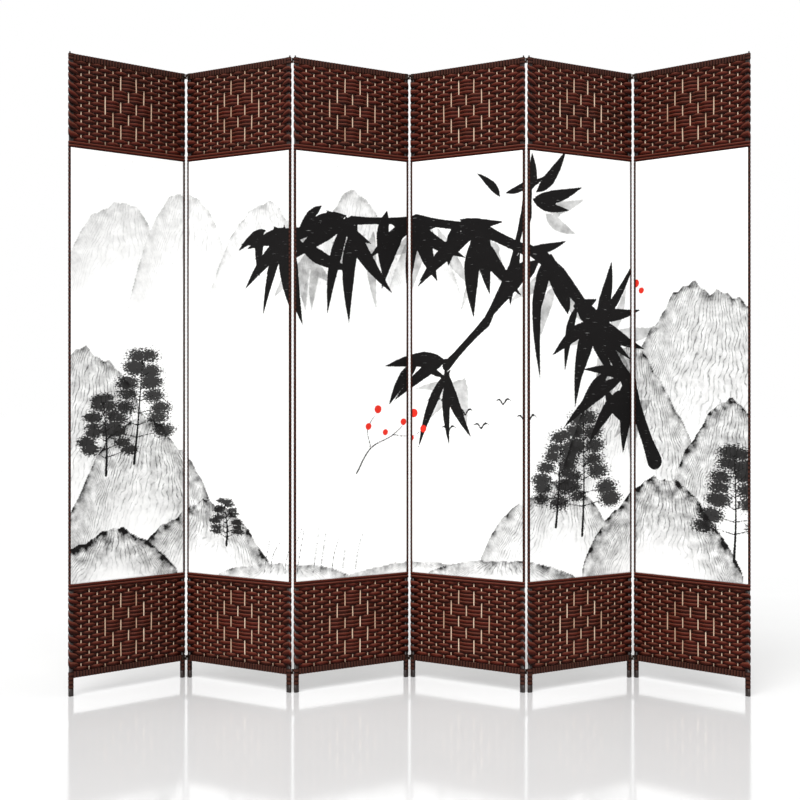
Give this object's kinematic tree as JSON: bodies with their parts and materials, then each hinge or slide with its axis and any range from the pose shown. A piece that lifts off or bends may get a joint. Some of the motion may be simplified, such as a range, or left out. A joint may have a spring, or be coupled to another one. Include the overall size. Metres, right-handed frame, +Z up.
{
  "type": "folding screen",
  "caption": "Free-standing folding screen of cord-wrapped wooden frames with woven fields and stretched cloth, hinged edge to edge to stand in a zigzag.",
  "frame": {"origin": "middle of the footprint on the floor as the screen stands in its zigzag", "axes": "+X along the screen, +Z up, the front faces -Y"},
  "size_m": [1.9098, 0.2931, 1.805],
  "materials": {
    "stile_wood": "dark stained and wrapped with paper cord",
    "rail_wood": "dark stained and covered with paper cord",
    "warp_wood": "pale, bare",
    "paper_cord": "twisted and woven, satin",
    "printed_cloth": "stretched, matt",
    "backing_cloth": "stretched, matt",
    "hinge_steel": "browned"
  },
  "bodies": {
    "panel_1": {"panel_1_left_stile": "stile_wood", "panel_1_right_stile": "stile_wood", "panel_1_rails": "rail_wood", "panel_1_warp_sticks": "warp_wood", "panel_1_upper_weave": "paper_cord", "panel_1_lower_weave": "paper_cord", "panel_1_cloth": "printed_cloth", "panel_1_backing_cloth": "backing_cloth", "panel_1_hinge_leaves": "hinge_steel"},
    "panel_2": {"panel_2_left_stile": "stile_wood", "panel_2_right_stile": "stile_wood", "panel_2_rails": "rail_wood", "panel_2_warp_sticks": "warp_wood", "panel_2_upper_weave": "paper_cord", "panel_2_lower_weave": "paper_cord", "panel_2_cloth": "printed_cloth", "panel_2_backing_cloth": "backing_cloth", "panel_2_hinge_leaves": "hinge_steel"},
    "panel_3": {"panel_3_left_stile": "stile_wood", "panel_3_right_stile": "stile_wood", "panel_3_rails": "rail_wood", "panel_3_warp_sticks": "warp_wood", "panel_3_upper_weave": "paper_cord", "panel_3_lower_weave": "paper_cord", "panel_3_cloth": "printed_cloth", "panel_3_backing_cloth": "backing_cloth", "panel_3_hinge_leaves": "hinge_steel"},
    "panel_4": {"panel_4_left_stile": "stile_wood", "panel_4_right_stile": "stile_wood", "panel_4_rails": "rail_wood", "panel_4_warp_sticks": "warp_wood", "panel_4_upper_weave": "paper_cord", "panel_4_lower_weave": "paper_cord", "panel_4_cloth": "printed_cloth", "panel_4_backing_cloth": "backing_cloth", "panel_4_hinge_leaves": "hinge_steel"},
    "panel_5": {"panel_5_left_stile": "stile_wood", "panel_5_right_stile": "stile_wood", "panel_5_rails": "rail_wood", "panel_5_warp_sticks": "warp_wood", "panel_5_upper_weave": "paper_cord", "panel_5_lower_weave": "paper_cord", "panel_5_cloth": "printed_cloth", "panel_5_backing_cloth": "backing_cloth", "panel_5_hinge_leaves": "hinge_steel"},
    "panel_6": {"panel_6_left_stile": "stile_wood", "panel_6_right_stile": "stile_wood", "panel_6_rails": "rail_wood", "panel_6_warp_sticks": "warp_wood", "panel_6_upper_weave": "paper_cord", "panel_6_lower_weave": "paper_cord", "panel_6_cloth": "printed_cloth", "panel_6_backing_cloth": "backing_cloth", "panel_6_hinge_leaves": "hinge_steel"}
  },
  "joints": [
    {"name": "joint_3_fold", "type": "hinge", "parent": "panel_3", "child": "panel_4", "pos_m": [0, 0.13964, 0.925], "axis": [0, 0, -1], "range_deg": [-72, 108]},
    {"name": "joint_4_fold", "type": "hinge", "parent": "panel_4", "child": "panel_5", "pos_m": [0.33106, -0.08606, 0.925], "axis": [0, 0, 1], "range_deg": [-71, 109]},
    {"name": "joint_5_fold", "type": "hinge", "parent": "panel_5", "child": "panel_6", "pos_m": [0.66602, 0.13383, 0.925], "axis": [0, 0, -1], "range_deg": [-80, 100]},
    {"name": "joint_2_fold", "type": "hinge", "parent": "panel_3", "child": "panel_2", "pos_m": [-0.33106, -0.08606, 0.925], "axis": [0, 0, -1], "range_deg": [-71, 109]},
    {"name": "joint_1_fold", "type": "hinge", "parent": "panel_2", "child": "panel_1", "pos_m": [-0.66602, 0.13383, 0.925], "axis": [0, 0, 1], "range_deg": [-80, 100]}
  ]
}
